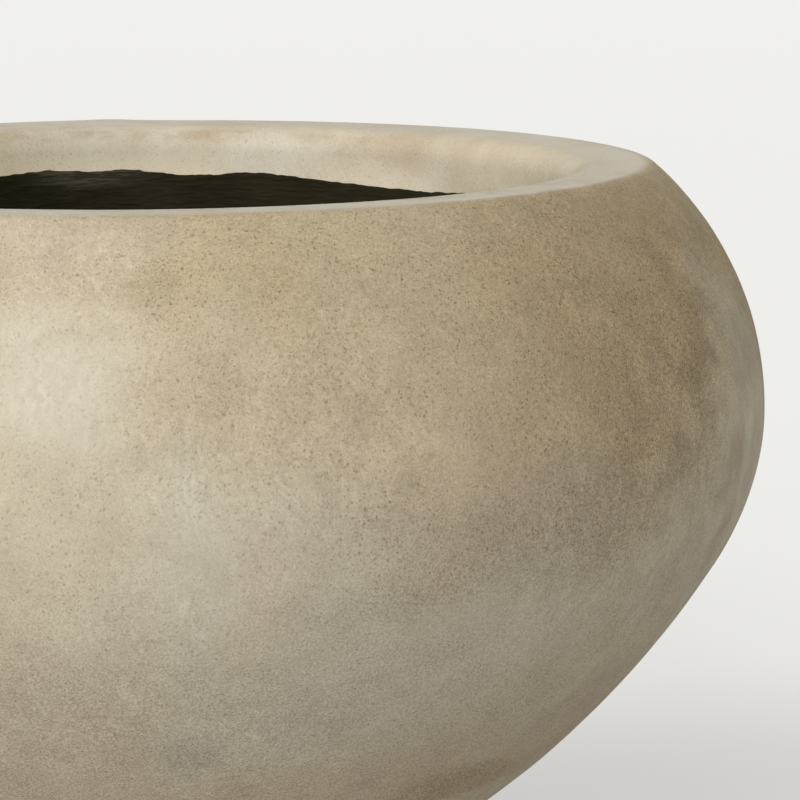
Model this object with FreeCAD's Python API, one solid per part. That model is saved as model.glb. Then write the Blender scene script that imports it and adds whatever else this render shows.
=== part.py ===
import FreeCAD, Part

import math
import os
from dataclasses import dataclass

# Stone bowl planter: a laminated cast pot with a broad rolled-in lip, a brushed sealing coat inside,
# a cast-in drain with a lift-out stopper, and rubber pads under the base.
# Millimetres, +Z up. The origin is on the floor, under the middle of the pot.

# Outer form of the casting
girth_radius = 280.0  # widest radius
shoulder_height = 110.0  # lip top above the widest point
shoulder_inset = 54.0  # how far the lip's outer corner stands in from the widest radius
belly_height = 210.0  # widest point above the underside
belly_radius = 118.0  # section radius of the belly, just below the widest point
flank_radius = 433.0  # section radius of the long flank that runs down to the base
base_radius = 114.0  # underside's outer corner, before it is rounded
base_edge_radius = 14.0  # rounding of that corner

# Lip and its return into the mouth
lip_width = 38.0  # lip's outer corner to the inner face of the return
lip_edge_radius = 9.0  # soft outer corner of the lip
mouth_edge_radius = 13.0  # roll of the lip into the mouth
return_depth = 48.0  # lip top to the lower end of the return
ledge_corner_radius = 18.0  # hollow corner under the lip, where its underside meets the wall

# Layers of the casting
face_thickness = 4.0  # fine stone face, laid in the mould first
backing_thickness = 15.0  # glass-fibre cement behind the face
floor_backing = 20.0  # the same cement in the floor
floor_corner_radius = 34.0  # hollow corner between the floor and the wall
coat_thickness = 1.6  # brushed sealing coat
coat_lap = 22.5  # how far the coat climbs the return above its lower end

# Drain in the middle of the floor
drain_bore_radius = 13.0
sleeve_wall = 3.0
sleeve_flange_width = 9.0  # flange beyond the tube's outside
sleeve_flange_thickness = 3.0
sleeve_lead_in = 0.8  # chamfer at both ends of the sleeve's bore
stopper_clearance = 0.3  # radial, between the stopper's barrel and the sleeve's bore
stopper_barrel_length = 19.0
stopper_taper = 0.9  # how much the barrel's radius shrinks towards its tip
stopper_tip_chamfer = 1.5
stopper_cap_overlap = 5.0  # cap beyond the bore
stopper_cap_thickness = 4.0
stopper_cap_edge = 1.5  # rounding of the cap's upper edge
grip_neck_radius = 6.0
grip_neck_height = 8.0
grip_head_radius = 10.0
grip_head_height = 7.0
grip_head_edge = 2.0  # rounding of the grip's head

# Pads under the base
pad_count = 4
pad_radius = 13.0
pad_thickness = 4.0
pad_edge_radius = 1.0
pad_margin = 6.0  # pad's edge to the edge of the flat underside

# Gap left between layers that are cast or stuck on each other
bond_gap = 0.05

UP = FreeCAD.Vector(0, 0, 1)
ORIGIN = FreeCAD.Vector(0, 0, 0)
HALF_PI = math.pi / 2

# Levels above the floor
underside_z = pad_thickness
girth_z = underside_z + belly_height
lip_z = girth_z + shoulder_height
return_end_z = lip_z - return_depth
floor_z = underside_z + face_thickness + floor_backing
flange_top_z = floor_z + sleeve_flange_thickness

# Radii that follow from the sizes above
wall = face_thickness + backing_thickness
mouth_radius = girth_radius - shoulder_inset - lip_width
sleeve_radius = drain_bore_radius + sleeve_wall
drain_hole_radius = sleeve_radius + bond_gap
flange_radius = sleeve_radius + sleeve_flange_width


@dataclass
class Circle:
    """A circle in the section plane: its centre as radius and height, and its own radius."""

    r: float
    z: float
    radius: float

    def at(self, angle, inset=0.0):
        """The point on the circle at an angle from the outward direction, moved in by inset."""
        reach = self.radius - inset
        return FreeCAD.Vector(self.r + reach * math.cos(angle), 0, self.z + reach * math.sin(angle))

    def arc(self, start, end, inset=0.0):
        """The arc from one angle to another, moved in by inset."""
        angles = (start, (start + end) / 2, end)
        return Part.Arc(*(self.at(angle, inset) for angle in angles)).toShape()

    def towards(self, other):
        """The angle from this circle's centre to the other's, where two tangent circles touch."""
        return math.atan2(other.z - self.z, other.r - self.r)


def point(radius, height):
    return FreeCAD.Vector(radius, 0, height)


def line(start, end):
    return Part.LineSegment(start, end).toShape()


def polyline(points):
    return [line(start, end) for start, end in zip(points, points[1:])]


def turned(edges):
    """The solid swept by a closed section, given as edges in any order, about the pot's axis."""
    wire = Part.Wire(Part.sortEdges(edges)[0])
    return Part.Face(wire).revolve(ORIGIN, UP, 360)


def rounding_in(outer, centre_z, radius):
    """A circle inside outer that touches it from within, on its outward side, with its centre at centre_z."""
    rise = centre_z - outer.z
    reach = outer.radius - radius
    return Circle(outer.r + math.sqrt(reach**2 - rise**2), centre_z, radius)


def flank_circle(belly):
    """The circle of flank_radius that holds the belly's circle, touches it and passes the base corner."""
    corner_r = base_radius - belly.r
    corner_z = underside_z - belly.z
    span = math.hypot(corner_r, corner_z)
    reach = flank_radius - belly.radius
    along = (reach**2 - flank_radius**2 + span**2) / (2 * span)
    aside = math.sqrt(reach**2 - along**2)
    centre_r = belly.r + (along * corner_r + aside * corner_z) / span
    centre_z = belly.z + (along * corner_z - aside * corner_r) / span
    return Circle(centre_r, centre_z, flank_radius)


# Section circles of the outside
shoulder_radius = (shoulder_inset**2 + shoulder_height**2) / (2 * shoulder_inset)
shoulder = Circle(girth_radius - shoulder_radius, girth_z, shoulder_radius)
belly = Circle(girth_radius - belly_radius, girth_z, belly_radius)
flank = flank_circle(belly)
base_edge = rounding_in(flank, underside_z + base_edge_radius, base_edge_radius)
lip_edge = rounding_in(shoulder, lip_z - lip_edge_radius, lip_edge_radius)
mouth_edge = Circle(mouth_radius + mouth_edge_radius, lip_z - mouth_edge_radius, mouth_edge_radius)

# Section circles of the inside, before the coat
inner_shoulder = Circle(shoulder.r, shoulder.z, shoulder.radius - wall)
inner_belly = Circle(belly.r, belly.z, belly.radius - wall)
inner_flank = Circle(flank.r, flank.z, flank.radius - wall)
floor_corner = rounding_in(inner_flank, floor_z + floor_corner_radius, floor_corner_radius)
ledge_corner = rounding_in(inner_shoulder, return_end_z - ledge_corner_radius, ledge_corner_radius)


def outside(inset):
    """The pot's outside, from the drain hole round to the lower end of the return, moved in by inset."""
    base_touch = flank.towards(base_edge)
    flank_touch = flank.towards(belly)
    lip_touch = shoulder.towards(lip_edge)
    return [
        line(point(drain_hole_radius, underside_z + inset), base_edge.at(-HALF_PI, inset)),
        base_edge.arc(-HALF_PI, base_touch, inset),
        flank.arc(base_touch, flank_touch, inset),
        belly.arc(flank_touch, 0, inset),
        shoulder.arc(0, lip_touch, inset),
        lip_edge.arc(lip_touch, HALF_PI, inset),
        line(lip_edge.at(HALF_PI, inset), mouth_edge.at(HALF_PI, inset)),
        mouth_edge.arc(HALF_PI, math.pi, inset),
        line(mouth_edge.at(math.pi, inset), point(mouth_radius + inset, return_end_z)),
    ]


def inside(inset, start_radius, end_radius):
    """The pot's inside, from start_radius on the floor up to end_radius under the lip, moved in by inset."""
    floor_touch = inner_flank.towards(floor_corner)
    flank_touch = inner_flank.towards(inner_belly)
    ledge_touch = inner_shoulder.towards(ledge_corner)
    return [
        line(point(start_radius, floor_z + inset), floor_corner.at(-HALF_PI, inset)),
        floor_corner.arc(-HALF_PI, floor_touch, inset),
        inner_flank.arc(floor_touch, flank_touch, inset),
        inner_belly.arc(flank_touch, 0, inset),
        inner_shoulder.arc(0, ledge_touch, inset),
        ledge_corner.arc(ledge_touch, HALF_PI, inset),
        line(ledge_corner.at(HALF_PI, inset), point(end_radius, return_end_z - inset)),
    ]


def stone_face():
    """The fine outer skin: underside, flank, belly, shoulder, lip and the inner face of the return."""
    ends = [
        line(point(mouth_radius, return_end_z), point(mouth_radius + face_thickness, return_end_z)),
        line(
            point(drain_hole_radius, underside_z),
            point(drain_hole_radius, underside_z + face_thickness),
        ),
    ]
    return turned(outside(0) + ends + outside(face_thickness))


def fibre_backing():
    """The structural cement behind the face, with the thick floor and the solid lip."""
    skin = face_thickness + bond_gap
    outer_end = point(mouth_radius + skin, return_end_z)
    ends = [
        line(
            point(drain_hole_radius, underside_z + skin),
            point(drain_hole_radius, floor_z),
        )
    ]
    return turned(outside(skin) + ends + inside(0, drain_hole_radius, outer_end.x))


def inner_coat():
    """The sealing coat: floor, wall and underside of the lip, lapped half way up the return."""
    free_face = bond_gap + coat_thickness
    lap_top_z = return_end_z + coat_lap
    start_radius = flange_radius + bond_gap
    lap_radius = mouth_radius - bond_gap
    turn = Circle(mouth_radius, return_end_z, free_face)
    ends = [
        line(point(start_radius, floor_z + bond_gap), point(start_radius, floor_z + free_face)),
        *polyline(
            [
                point(lap_radius, return_end_z - bond_gap),
                point(lap_radius, lap_top_z),
                point(mouth_radius - free_face, lap_top_z),
                turn.at(math.pi),
            ]
        ),
        turn.arc(math.pi, 3 * HALF_PI),
    ]
    on_wall = inside(bond_gap, start_radius, lap_radius)
    free = inside(free_face, start_radius, mouth_radius)
    return turned(on_wall + ends + free)


def drain_sleeve():
    """The plastic tube cast into the floor, with a flange that lies on the floor."""
    section = polyline(
        [
            point(drain_bore_radius + sleeve_lead_in, underside_z),
            point(sleeve_radius, underside_z),
            point(sleeve_radius, floor_z + bond_gap),
            point(flange_radius, floor_z + bond_gap),
            point(flange_radius, flange_top_z),
            point(drain_bore_radius + sleeve_lead_in, flange_top_z),
            point(drain_bore_radius, flange_top_z - sleeve_lead_in),
            point(drain_bore_radius, underside_z + sleeve_lead_in),
            point(drain_bore_radius + sleeve_lead_in, underside_z),
        ]
    )
    return turned(section)


def drain_stopper():
    """The rubber stopper: a tapered barrel in the sleeve, a cap on its flange and a knob to pull it by."""
    barrel_radius = drain_bore_radius - stopper_clearance
    tip_radius = barrel_radius - stopper_taper
    tip_z = flange_top_z - stopper_barrel_length
    cap_radius = drain_bore_radius + stopper_cap_overlap
    cap_top_z = flange_top_z + stopper_cap_thickness
    head_z = cap_top_z + grip_neck_height
    head_top_z = head_z + grip_head_height
    cap_edge = Circle(cap_radius - stopper_cap_edge, cap_top_z - stopper_cap_edge, stopper_cap_edge)
    head_low = Circle(grip_head_radius - grip_head_edge, head_z + grip_head_edge, grip_head_edge)
    head_high = Circle(grip_head_radius - grip_head_edge, head_top_z - grip_head_edge, grip_head_edge)
    section = [
        *polyline(
            [
                point(0, tip_z),
                point(tip_radius - stopper_tip_chamfer, tip_z),
                point(tip_radius, tip_z + stopper_tip_chamfer),
                point(barrel_radius, flange_top_z),
                point(cap_radius, flange_top_z),
                cap_edge.at(0),
            ]
        ),
        cap_edge.arc(0, HALF_PI),
        *polyline(
            [
                cap_edge.at(HALF_PI),
                point(grip_neck_radius, cap_top_z),
                point(grip_neck_radius, head_z),
                head_low.at(-HALF_PI),
            ]
        ),
        head_low.arc(-HALF_PI, 0),
        line(head_low.at(0), head_high.at(0)),
        head_high.arc(0, HALF_PI),
        *polyline([head_high.at(HALF_PI), point(0, head_top_z), point(0, tip_z)]),
    ]
    return turned(section)


def foot_pad(index):
    """One rubber pad, stuck to the flat underside near its edge."""
    circle_radius = base_edge.r - pad_margin - pad_radius
    angle = 2 * math.pi * (index + 0.5) / pad_count
    place = FreeCAD.Vector(circle_radius * math.cos(angle), circle_radius * math.sin(angle), 0)
    pad = Part.makeCylinder(pad_radius, pad_thickness, place, UP)
    rims = [edge for edge in pad.Edges if edge.Curve.TypeId == "Part::GeomCircle"]
    lower_rim = min(rims, key=lambda edge: edge.BoundBox.ZMax)
    return pad.makeFillet(pad_edge_radius, [lower_rim])


pieces = {
    "stone_face": stone_face(),
    "fibre_backing": fibre_backing(),
    "inner_coat": inner_coat(),
    "drain_sleeve": drain_sleeve(),
    "drain_stopper": drain_stopper(),
}
for number in range(pad_count):
    pieces[f"foot_pad_{number + 1}"] = foot_pad(number)

os.makedirs("parts", exist_ok=True)
for name, shape in pieces.items():
    shape.exportStep(f"parts/{name}.step")
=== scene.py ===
import logging
import math
from dataclasses import dataclass
from enum import Enum
from functools import cache, cached_property, partial, reduce

import bpy
import numpy as np
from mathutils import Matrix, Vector


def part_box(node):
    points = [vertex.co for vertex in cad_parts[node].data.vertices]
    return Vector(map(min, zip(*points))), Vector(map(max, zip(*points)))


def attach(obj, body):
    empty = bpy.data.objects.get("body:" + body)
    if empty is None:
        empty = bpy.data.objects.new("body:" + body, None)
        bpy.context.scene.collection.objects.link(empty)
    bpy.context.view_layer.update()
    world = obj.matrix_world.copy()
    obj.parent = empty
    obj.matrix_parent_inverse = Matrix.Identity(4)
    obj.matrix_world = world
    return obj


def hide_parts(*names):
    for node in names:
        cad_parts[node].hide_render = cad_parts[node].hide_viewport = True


# A cast stone bowl planter: a hand-finished stone face with a broad lip rolled into the mouth, a brushed
# dark coat inside, a floor drain with a lift-out stopper, and rubber pads under the base.
# Metres, +Z up, in the frame of the CAD model. Azimuths are in degrees from -Y, the side that faces
# the camera, and grow towards +X.

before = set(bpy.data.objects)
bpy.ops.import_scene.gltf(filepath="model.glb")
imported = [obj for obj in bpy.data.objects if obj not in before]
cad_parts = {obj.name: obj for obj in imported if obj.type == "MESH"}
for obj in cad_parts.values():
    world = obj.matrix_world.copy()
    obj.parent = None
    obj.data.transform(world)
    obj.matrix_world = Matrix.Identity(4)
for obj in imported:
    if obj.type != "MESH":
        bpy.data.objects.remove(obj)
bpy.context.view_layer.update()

log = logging.getLogger("stone_pot")

MM = 0.001
HALF_PI = math.pi / 2
RUN = "run"
WEIGHT_LEVELS = 100

Span = tuple[float, float]
Place = tuple[float, float, float]
Colour = tuple[float, float, float]
Object = bpy.types.Object
Material = bpy.types.Material
NodeTree = bpy.types.NodeTree
Socket = bpy.types.NodeSocket
Value = Socket | float | tuple[float, ...]

BLACK: Colour = (0.0, 0.0, 0.0)


class Body(Enum):
    """The body that the drawn pieces ride on."""

    POT = "pot"


class Slot(Enum):
    """The record's material slots for the drawn pieces."""

    STONE = "stone"
    COAT = "sealing_coat"


class Direction(Enum):
    """Which way a surface is moved."""

    OUTWARD = "NORMAL"
    UP = "Z"


class Blend(Enum):
    """How one colour is laid over another."""

    OVER = "MIX"
    DARKEN = "MULTIPLY"
    TINT = "OVERLAY"


# Section of the pot


@dataclass(frozen=True)
class Circle:
    """A circle in the section plane: its centre as radius and height, and its own radius."""

    r: float
    z: float
    radius: float

    def at(self, angle: float, inset: float = 0.0) -> Vector:
        """The point at an angle from the outward direction, moved in by inset."""
        reach = self.radius - inset
        return Vector((self.r + reach * math.cos(angle), 0, self.z + reach * math.sin(angle)))

    def towards(self, other: "Circle") -> float:
        """The angle from this circle's centre to the other's, where two tangent circles touch."""
        return math.atan2(other.z - self.z, other.r - self.r)


def rounding_in(outer: Circle, centre_z: float, radius: float) -> Circle:
    """A circle, at a height, that touches outer from within on its outward side."""
    reach = outer.radius - radius
    return Circle(outer.r + math.sqrt(reach**2 - (centre_z - outer.z) ** 2), centre_z, radius)


@dataclass(frozen=True)
class PotSection:
    """The section that the stone face and the coat share, with the sizes of the CAD model."""

    girth_radius: float
    underside_z: float
    lip_z: float
    shoulder_height: float = 110 * MM
    shoulder_inset: float = 54 * MM
    belly_radius: float = 118 * MM
    flank_radius: float = 433 * MM
    base_radius: float = 114 * MM
    base_edge_radius: float = 14 * MM
    lip_width: float = 38 * MM
    lip_edge_radius: float = 9 * MM
    lip_slope: float = math.radians(2.2)
    rim_room: float = 0.8 * MM
    mouth_edge_radius: float = 13 * MM
    return_depth: float = 48 * MM
    ledge_corner_radius: float = 18 * MM
    face_thickness: float = 4 * MM
    wall: float = 19 * MM
    floor_thickness: float = 24 * MM
    floor_corner_radius: float = 34 * MM

    @property
    def girth_z(self) -> float:
        """Height of the widest point."""
        return self.lip_z - self.shoulder_height

    @property
    def return_end_z(self) -> float:
        """Height of the lower end of the lip's return."""
        return self.lip_z - self.return_depth

    @property
    def floor_z(self) -> float:
        """Height of the floor inside."""
        return self.underside_z + self.floor_thickness

    @property
    def mouth_radius(self) -> float:
        """Radius of the return's inner face."""
        return self.girth_radius - self.shoulder_inset - self.lip_width

    @property
    def shoulder(self) -> Circle:
        """The circle from the widest point up to the lip."""
        radius = (self.shoulder_inset**2 + self.shoulder_height**2) / (2 * self.shoulder_inset)
        return Circle(self.girth_radius - radius, self.girth_z, radius)

    @property
    def belly(self) -> Circle:
        """The circle just below the widest point."""
        return Circle(self.girth_radius - self.belly_radius, self.girth_z, self.belly_radius)

    @property
    def flank(self) -> Circle:
        """The long circle from the belly down to the base.

        Returns:
            The circle round the belly's that touches it and goes through the base's corner.
        """
        corner_r = self.base_radius - self.belly.r
        corner_z = self.underside_z - self.belly.z
        span = math.hypot(corner_r, corner_z)
        reach = self.flank_radius - self.belly_radius
        along = (reach**2 - self.flank_radius**2 + span**2) / (2 * span)
        aside = math.sqrt(reach**2 - along**2)
        centre_r = self.belly.r + (along * corner_r + aside * corner_z) / span
        centre_z = self.belly.z + (along * corner_z - aside * corner_r) / span
        return Circle(centre_r, centre_z, self.flank_radius)

    @property
    def base_edge(self) -> Circle:
        """The rounding of the base."""
        return rounding_in(self.flank, self.underside_z + self.base_edge_radius, self.base_edge_radius)

    @property
    def lip_edge(self) -> Circle:
        """The lip's soft outer corner, with room over it for a bump of the rim."""
        centre_z = self.lip_z - self.rim_room - self.lip_edge_radius
        return rounding_in(self.shoulder, centre_z, self.lip_edge_radius)

    @property
    def mouth_edge(self) -> Circle:
        """The roll into the mouth, lower than the lip's outer corner by the slope of the lip.

        Returns:
            The circle that touches the sloped lip and the return.
        """
        centre_r = self.mouth_radius + self.mouth_edge_radius
        rise = (centre_r - self.lip_edge.r) * math.sin(self.lip_slope)
        grown = self.mouth_edge_radius - self.lip_edge_radius
        centre_z = self.lip_edge.z + (rise - grown) / math.cos(self.lip_slope)
        return Circle(centre_r, centre_z, self.mouth_edge_radius)

    def inner(self, outer: Circle) -> Circle:
        """The circle of the inside that runs one wall within an outer one."""
        return Circle(outer.r, outer.z, outer.radius - self.wall)

    @property
    def floor_corner(self) -> Circle:
        """The hollow corner between the floor and the wall."""
        centre_z = self.floor_z + self.floor_corner_radius
        return rounding_in(self.inner(self.flank), centre_z, self.floor_corner_radius)

    @property
    def ledge_corner(self) -> Circle:
        """The hollow corner under the lip."""
        centre_z = self.return_end_z - self.ledge_corner_radius
        return rounding_in(self.inner(self.shoulder), centre_z, self.ledge_corner_radius)

    def outer_radius(self, height: float) -> float:
        """The pot's outer radius.

        Args:
            height: A height between the base and the lip.

        Returns:
            The radius there.
        """
        if height >= self.girth_z:
            circle = self.shoulder
        elif height >= self.belly.at(self.flank.towards(self.belly)).z:
            circle = self.belly
        else:
            circle = self.flank
        return circle.r + math.sqrt(circle.radius**2 - (height - circle.z) ** 2)


def around(azimuth: float, radius: float, height: float) -> Vector:
    """The point at an azimuth in degrees, a radius and a height."""
    angle = math.radians(azimuth)
    return Vector((radius * math.sin(angle), -radius * math.cos(angle), height))


# Modelling by hand: drawing a section, turning it and working its surface


def pick(obj: Object | None = None) -> None:
    """Leaves edit mode and selects one object alone.

    Args:
        obj: The object, or none.
    """
    if bpy.context.object and bpy.context.object.mode != "OBJECT":
        bpy.ops.object.mode_set(mode="OBJECT")
    bpy.ops.object.select_all(action="DESELECT")
    if obj is not None:
        obj.select_set(True)
        bpy.context.view_layer.objects.active = obj


def edit(selected: bool = True) -> None:
    """Enters edit mode on the active object.

    Args:
        selected: Whether its vertices are selected.
    """
    bpy.ops.object.mode_set(mode="EDIT")
    bpy.ops.mesh.select_mode(type="VERT")
    bpy.ops.mesh.select_all(action="SELECT" if selected else "DESELECT")


def apply_modifier(obj: Object, name: str, kind: str, **settings: object) -> None:
    """Adds a modifier to a piece and applies it.

    Args:
        obj: The piece.
        name: The modifier's name.
        kind: Its type.
        **settings: Its properties.
    """
    pick(obj)
    modifier = obj.modifiers.new(name, kind)
    for key, setting in settings.items():
        setattr(modifier, key, setting)
    bpy.ops.object.modifier_apply(modifier=modifier.name)


class SectionPen:
    """Draws a section in the XZ plane with one vertex that is extruded and spun in edit mode."""

    finest_turn: float = math.radians(12)
    touch: float = 0.01 * MM

    def __init__(self, name: str, start: Vector, spacing: float) -> None:
        """Puts the pen down: a small plane merged to one vertex.

        Args:
            name: The new object's name.
            start: The section's first point.
            spacing: How long the edges are at most.
        """
        pick()
        bpy.ops.mesh.primitive_plane_add(size=MM)
        self.obj = bpy.context.object
        self.obj.name = name
        self.obj.data.name = name
        edit()
        bpy.ops.mesh.merge(type="CENTER")
        bpy.ops.transform.translate(value=start)
        self.place = start.copy()
        self.spacing = spacing
        self.drawn = 0.0

    def run(self, end: Vector) -> None:
        """Draws a straight stretch.

        Args:
            end: The point that it goes to.
        """
        length = (end - self.place).length
        steps = math.ceil(length / self.spacing)
        move = (end - self.place) / steps
        for _ in range(steps):
            bpy.ops.mesh.extrude_region_move(TRANSFORM_OT_translate={"value": move})
        self.place = end.copy()
        self.drawn += length

    def sweep(self, circle: Circle, start: float, end: float, inset: float = 0.0) -> None:
        """Draws an arc of a circle, after a straight stretch to its start if the pen isn't there.

        Args:
            circle: The circle that the arc lies on.
            start: The arc's first angle.
            end: The arc's last angle.
            inset: How far the arc lies within the circle.
        """
        first = circle.at(start, inset)
        if (first - self.place).length > self.touch:
            self.run(first)
        turn = abs(end - start)
        length = turn * (circle.radius - inset)
        steps = math.ceil(max(length / self.spacing, turn / self.finest_turn))
        centre = (circle.r, 0, circle.z)
        bpy.ops.mesh.spin(steps=steps, angle=end - start, center=centre, axis=(0, 1, 0))
        self.place = circle.at(end, inset)
        self.drawn += length

    def turn(self, facets: int) -> Object:
        """Closes the section on its first point and turns it round the pot's axis.

        Args:
            facets: How many facets it has all round.

        Returns:
            The closed shell, with each vertex's distance along the section as its attribute run.
        """
        bpy.ops.object.mode_set(mode="OBJECT")
        bpy.ops.object.transform_apply(location=True, rotation=True, scale=True)
        self.measure()
        edit()
        bpy.ops.mesh.remove_doubles(threshold=self.touch)
        apply_modifier(
            self.obj,
            "lathe",
            "SCREW",
            axis="Z",
            angle=2 * math.pi,
            steps=facets,
            render_steps=facets,
            use_merge_vertices=True,
            merge_threshold=self.touch,
        )
        edit()
        bpy.ops.mesh.normals_make_consistent(inside=False)
        bpy.ops.object.mode_set(mode="OBJECT")
        bpy.ops.object.shade_smooth()
        return self.obj

    def measure(self) -> None:
        """Walks along the section, from the end that was drawn last, and notes how far each vertex is."""
        mesh = self.obj.data
        beside: list[list[int]] = [[] for _ in mesh.vertices]
        for edge in mesh.edges:
            first, second = edge.vertices
            beside[first].append(second)
            beside[second].append(first)
        here = next(vertex.index for vertex in mesh.vertices if vertex.select)
        walked = {here: self.drawn}
        onward = beside[here]
        while onward:
            step = (mesh.vertices[onward[0]].co - mesh.vertices[here].co).length
            walked[onward[0]] = walked[here] - step
            here = onward[0]
            onward = [index for index in beside[here] if index not in walked]
        run = mesh.attributes.new(RUN, "FLOAT", "POINT")
        run.data.foreach_set("value", [walked[vertex.index] for vertex in mesh.vertices])


def read(items: bpy.types.bpy_prop_collection, key: str, kind: type = float, size: int = 1) -> np.ndarray:
    """Reads one property of many items.

    Args:
        items: The items.
        key: The property's name.
        kind: The type of its numbers.
        size: How many numbers it has.

    Returns:
        One row per item.
    """
    values = np.empty(len(items) * size, dtype=kind)
    items.foreach_get(key, values)
    return values.reshape(-1, size) if size > 1 else values


def vertex_places(obj: Object) -> np.ndarray:
    """The places of a mesh's vertices, one row each."""
    return read(obj.data.vertices, "co", size=3)


def vertex_runs(obj: Object) -> np.ndarray:
    """How far along its section each vertex of a turned shell is."""
    return read(obj.data.attributes[RUN].data, "value")


def fade(value: np.ndarray, start: float, end: float) -> np.ndarray:
    """A smooth step from 0 at start to 1 at end, which may be lower than start."""
    share = np.clip((value - start) / (end - start), 0, 1)
    return share * share * (3 - 2 * share)


def before_seam(corners: np.ndarray, half: float) -> np.ndarray:
    """Which corners of the faces, one row each, lie on the low side of a seam that their face crosses."""
    return (np.ptp(corners, axis=1) > half)[:, None] & (corners < half)


def weigh(obj: Object, name: str, weights: np.ndarray) -> None:
    """Makes a vertex group from a weight per vertex.

    Args:
        obj: The piece.
        name: The group's name.
        weights: The weights, of which zeros are left out.
    """
    group = obj.vertex_groups.new(name=name)
    levels = np.round(weights * WEIGHT_LEVELS).astype(int)
    for level in np.unique(levels[levels > 0]):
        group.add(np.flatnonzero(levels == level).tolist(), level / WEIGHT_LEVELS, "REPLACE")


@dataclass(frozen=True)
class Unevenness:
    """Waves that a hand leaves on a surface."""

    name: str
    length: float
    height: float
    octaves: int = 1
    level: float = 0.5
    direction: Direction = Direction.OUTWARD

    def work_into(self, obj: Object, group: str) -> None:
        """Displaces a piece by the waves.

        Args:
            obj: The piece.
            group: The vertex group that says how far.
        """
        waves = bpy.data.textures.new(self.name, "CLOUDS")
        waves.noise_scale = self.length
        waves.noise_depth = self.octaves
        apply_modifier(
            obj,
            self.name,
            "DISPLACE",
            texture=waves,
            texture_coords="LOCAL",
            direction=self.direction.value,
            mid_level=self.level,
            strength=self.height,
            vertex_group=group,
        )


def shift(obj: Object, group: str, rise: float) -> None:
    """Moves the vertices of a group up or down, as far as their weights say."""
    settings = {"direction": Direction.UP.value, "mid_level": 0.0, "strength": rise}
    apply_modifier(obj, group, "DISPLACE", vertex_group=group, **settings)


@dataclass(frozen=True)
class Swell:
    """A place where an edge was pulled up or pressed down by hand."""

    azimuth: float
    rise: float
    reach: float

    def work_into(self, obj: Object, radius: float, height: float) -> None:
        """Moves the vertex nearest to the place, with a soft falloff round it.

        Args:
            obj: The piece.
            radius: The edge's radius.
            height: The edge's height.
        """
        pick(obj)
        edit(selected=False)
        bpy.ops.object.mode_set(mode="OBJECT")
        offsets = vertex_places(obj) - np.array(around(self.azimuth, radius, height))
        nearest = int(np.argmin(np.linalg.norm(offsets, axis=1)))
        obj.data.vertices[nearest].select = True
        bpy.ops.object.mode_set(mode="EDIT")
        bpy.ops.transform.translate(
            value=(0, 0, self.rise),
            use_proportional_edit=True,
            proportional_edit_falloff="SMOOTH",
            proportional_size=self.reach,
        )
        bpy.ops.object.mode_set(mode="OBJECT")


# Drawing materials: nodes, and the effects that several finishes share


def opaque(colour: Value) -> Value:
    """A colour as a socket takes it, unless it is an output itself."""
    return (*colour, 1.0) if isinstance(colour, tuple) else colour


class NodeSheet:
    """Adds nodes to one node tree and links them."""

    mix_factor: int = 0
    mix_under: int = 6
    mix_over: int = 7
    mix_result: int = 2

    def __init__(self, tree: NodeTree) -> None:
        """Takes the tree to draw on."""
        self.tree = tree

    def add(
        self, kind: str, sockets: dict[str | int, Value] | None = None, **settings: object
    ) -> bpy.types.Node:
        """Adds a node.

        Args:
            kind: The node's type.
            sockets: A value, or an output to link, for each input that isn't left alone.
            **settings: The node's own properties.

        Returns:
            The node.
        """
        node = self.tree.nodes.new(kind)
        for name, setting in settings.items():
            setattr(node, name, setting)
        for key, value in (sockets or {}).items():
            if isinstance(value, Socket):
                self.tree.links.new(value, node.inputs[key])
            else:
                node.inputs[key].default_value = value
        return node

    def noise(
        self, vector: Value, scale: Value, detail: Value = 2.0, rough: float = 0.5, output: str = "Fac"
    ) -> Socket:
        """A noise texture on a vector."""
        sockets = {"Vector": vector, "Scale": scale, "Detail": detail, "Roughness": rough}
        return self.add("ShaderNodeTexNoise", sockets).outputs[output]

    def wobble(self, vector: Value, scale: Value, detail: Value = 2.0, rough: float = 0.5) -> Socket:
        """A vector that wavers about zero."""
        return self.vectors("SUBTRACT", self.noise(vector, scale, detail, rough, "Color"), (0.5, 0.5, 0.5))

    def sum(self, operation: str, first: Value, second: Value) -> Socket:
        """One sum on two values."""
        return self.add("ShaderNodeMath", {0: first, 1: second}, operation=operation).outputs[0]

    def times(self, *values: Value) -> Value:
        """Several values multiplied."""
        return reduce(partial(self.sum, "MULTIPLY"), values)

    def vectors(self, operation: str, first: Value, second: Value) -> Socket:
        """One sum on two vectors."""
        return self.add("ShaderNodeVectorMath", {0: first, 1: second}, operation=operation).outputs[0]

    def scaled(self, vector: Value, factor: Value) -> Socket:
        """A vector made longer or shorter."""
        sockets = {"Vector": vector, "Scale": factor}
        return self.add("ShaderNodeVectorMath", sockets, operation="SCALE").outputs[0]

    def ramp(
        self, value: Value, low: Value, high: Value, start: float = 0.0, end: float = 1.0, **settings: str
    ) -> Socket:
        """A straight ramp from start, at low, to end, at high, and level beyond both."""
        sockets = {"Value": value, "From Min": low, "From Max": high, "To Min": start, "To Max": end}
        return self.add("ShaderNodeMapRange", sockets, **settings).outputs["Result"]

    def step(self, value: Value, low: Value, high: Value, start: float = 0.0, end: float = 1.0) -> Socket:
        """A ramp with soft ends."""
        return self.ramp(value, low, high, start, end, interpolation_type="SMOOTHSTEP")

    def lay(self, under: Value, over: Value, amount: Value, blend: Blend = Blend.OVER) -> Socket:
        """Lays one colour over another.

        Args:
            under: The colour below.
            over: The colour above.
            amount: How much of it is laid on.
            blend: How it is laid on.

        Returns:
            The mixed colour.
        """
        sockets = {self.mix_factor: amount, self.mix_under: opaque(under), self.mix_over: opaque(over)}
        node = self.add("ShaderNodeMix", sockets, data_type="RGBA", blend_type=blend.value)
        return node.outputs[self.mix_result]


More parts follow.
